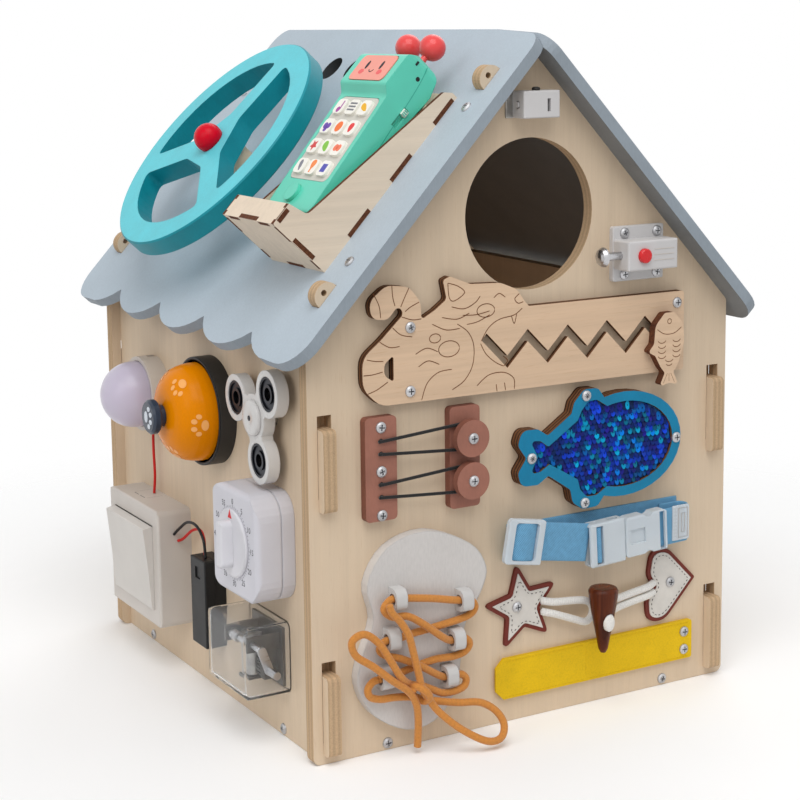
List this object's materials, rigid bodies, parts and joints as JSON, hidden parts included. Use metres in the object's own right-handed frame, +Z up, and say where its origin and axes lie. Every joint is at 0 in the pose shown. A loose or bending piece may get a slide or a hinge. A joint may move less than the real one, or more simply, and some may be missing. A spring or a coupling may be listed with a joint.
{
  "type": "wooden activity house",
  "caption": "Child's wooden activity house with a scalloped pitched roof, steering wheel, toy phone, bell, switch, lacing shoe, buckle and latch toys on its walls.",
  "frame": {"origin": "on the floor under the middle of the house", "axes": "+Z up, the gable with the round window faces -Y, the wall with the bell faces -X, the ridge runs along Y"},
  "size_m": [0.3802, 0.3819, 0.4459],
  "materials": {
    "birch_ply": "sanded plywood",
    "grey_paint": "matte painted plywood",
    "zinc": "zinc plated",
    "teal_paint": "satin painted plywood",
    "red_lacquer": "gloss lacquer",
    "cut_ply": "laser cut plywood",
    "mint_plastic": "semi gloss",
    "coral_plastic": "semi gloss",
    "ivory_plastic": "soft keys",
    "frosted_white": "frosted",
    "white_plastic": "semi gloss",
    "timer_plastic": "satin",
    "dark_plastic": "satin",
    "orange_enamel": "gloss enamel",
    "navy_plastic": "semi gloss",
    "dark_rings": "darkened",
    "clear_plastic": "clear case",
    "wire_red": "insulation",
    "chrome": "polished",
    "button_red": "gloss",
    "peach_ply": "varnished plywood",
    "mauve_paint": "painted plywood",
    "black_elastic": "woven elastic",
    "deep_teal": "painted plywood",
    "sequins": "two tone sequins",
    "blue_webbing": "woven webbing",
    "clear_white": "milky",
    "white_leather": "smooth leather",
    "white_cord": "braided cord",
    "horn_brown": "polished horn look",
    "yellow_strap": "hook and loop tape",
    "pale_paint": "pale painted plywood",
    "tan_lace": "round braided lace"
  },
  "bodies": {
    "house": {"front_panel": "birch_ply", "back_panel": "birch_ply", "left_wall": "birch_ply", "right_wall": "birch_ply", "base_panel": "birch_ply", "roof_left": "grey_paint", "roof_right": "grey_paint", "screws": "zinc", "wheel_post": "birch_ply", "holder_box": "cut_ply", "lamp_socket": "white_plastic", "lamp_globe": "frosted_white", "bell_base": "dark_plastic", "bell_dome": "orange_enamel", "spinner_axle": "dark_plastic", "switch_box": "white_plastic", "timer_case": "timer_plastic", "battery_box": "dark_plastic", "music_case": "clear_plastic", "music_frame": "zinc", "wires": "wire_red", "top_catch": "white_plastic", "latch_body": "white_plastic", "cat_board": "peach_ply", "elastic_plates": "mauve_paint", "elastic_cords": "black_elastic", "fish_frame": "deep_teal", "sequin_cloth": "sequins", "strap_band": "blue_webbing", "strap_adjuster": "clear_white", "buckle_socket": "clear_white", "toggle_patches": "white_leather", "toggle_cords": "white_cord", "hook_strap_base": "yellow_strap", "shoe_plate": "pale_paint", "lace_lugs": "white_plastic", "shoe_lace": "tan_lace", "lace_ends": "tan_lace"},
    "wheel": {"steering_wheel": "teal_paint", "hub_ball": "red_lacquer"},
    "phone": {"phone_shell": "mint_plastic", "phone_screen": "coral_plastic", "phone_antennas": "coral_plastic"},
    "keypad": {"phone_keypad": "ivory_plastic"},
    "call_button": {"phone_button": "mint_plastic"},
    "side_switch": {"phone_switch": "ivory_plastic"},
    "rocker": {"switch_rocker": "white_plastic"},
    "bell_push": {"bell_button": "navy_plastic"},
    "spinner": {"spinner_body": "white_plastic", "spinner_rings": "dark_rings"},
    "dial": {"timer_dial": "timer_plastic"},
    "crank": {"music_crank": "white_plastic"},
    "drum": {"music_drum": "chrome"},
    "fish": {"fish_slider": "peach_ply"},
    "bolt": {"latch_bolt": "chrome"},
    "latch_push": {"latch_button": "button_red"},
    "buckle": {"buckle_prongs": "clear_white", "strap_tail": "blue_webbing"},
    "flap": {"hook_strap_flap": "yellow_strap"},
    "toggle": {"toggle_horn": "horn_brown"}
  },
  "joints": [
    {"name": "wheel_spin", "type": "hinge", "parent": "house", "child": "wheel", "pos_m": [-0.12066, 0.039, 0.36696], "axis": [-0.7322, 0, 0.6811], "continuous": true},
    {"name": "phone_lift", "type": "slide", "parent": "house", "child": "phone", "axis": [-0.7322, 0, 0.6811], "range_m": [0, 0.04]},
    {"name": "keypad_press", "type": "slide", "parent": "phone", "child": "keypad", "axis": [0.7779, 0, -0.6284], "range_m": [0, 0.0008], "stiffness_N_per_m": 900},
    {"name": "call_button_press", "type": "slide", "parent": "phone", "child": "call_button", "axis": [0.7779, 0, -0.6284], "range_m": [0, 0.001], "stiffness_N_per_m": 500},
    {"name": "side_switch_slide", "type": "slide", "parent": "phone", "child": "side_switch", "axis": [-0.6811, 0, -0.7322], "range_m": [0, 0.008]},
    {"name": "switch_rock", "type": "hinge", "parent": "house", "child": "rocker", "pos_m": [-0.173, 0.078, 0.076], "axis": [0, 1, 0], "range_deg": [0, 10]},
    {"name": "bell_press", "type": "slide", "parent": "house", "child": "bell_push", "axis": [1, 0, 0], "range_m": [0, 0.0035], "stiffness_N_per_m": 400},
    {"name": "spinner_spin", "type": "hinge", "parent": "house", "child": "spinner", "pos_m": [-0.163, -0.103, 0.209], "axis": [-1, 0, 0], "continuous": true},
    {"name": "timer_turn", "type": "hinge", "parent": "house", "child": "dial", "pos_m": [-0.18, -0.097, 0.129], "axis": [1, 0, 0], "range_deg": [0, 345]},
    {"name": "crank_turn", "type": "hinge", "parent": "house", "child": "crank", "pos_m": [-0.174, -0.09, 0.064], "axis": [0, -1, 0], "continuous": true},
    {"name": "drum_turn", "type": "hinge", "parent": "house", "child": "drum", "pos_m": [-0.16415, -0.086, 0.055], "axis": [0, 0, 1], "continuous": true},
    {"name": "fish_slide", "type": "slide", "parent": "house", "child": "fish", "axis": [-0.7048, 0, 0.7094], "range_m": [0, 0.02]},
    {"name": "bolt_slide", "type": "slide", "parent": "house", "child": "bolt", "axis": [1, 0, 0], "range_m": [0, 0.009]},
    {"name": "latch_press", "type": "slide", "parent": "house", "child": "latch_push", "axis": [0, 1, 0], "range_m": [0, 0.0025], "stiffness_N_per_m": 400},
    {"name": "buckle_release", "type": "slide", "parent": "house", "child": "buckle", "axis": [0.9986, 0, 0.0523], "range_m": [0, 0.02]},
    {"name": "strap_peel", "type": "hinge", "parent": "house", "child": "flap", "pos_m": [0.042, -0.1665, 0.03], "axis": [0, 0, 1], "range_deg": [0, 80]},
    {"name": "toggle_turn", "type": "hinge", "parent": "house", "child": "toggle", "pos_m": [0.0445, -0.182, 0.0628], "axis": [0, 1, 0], "range_deg": [-95, 95]}
  ],
  "couplings": [
    {"joint": "drum_turn", "follows": "crank_turn", "ratio": 0.05}
  ]
}
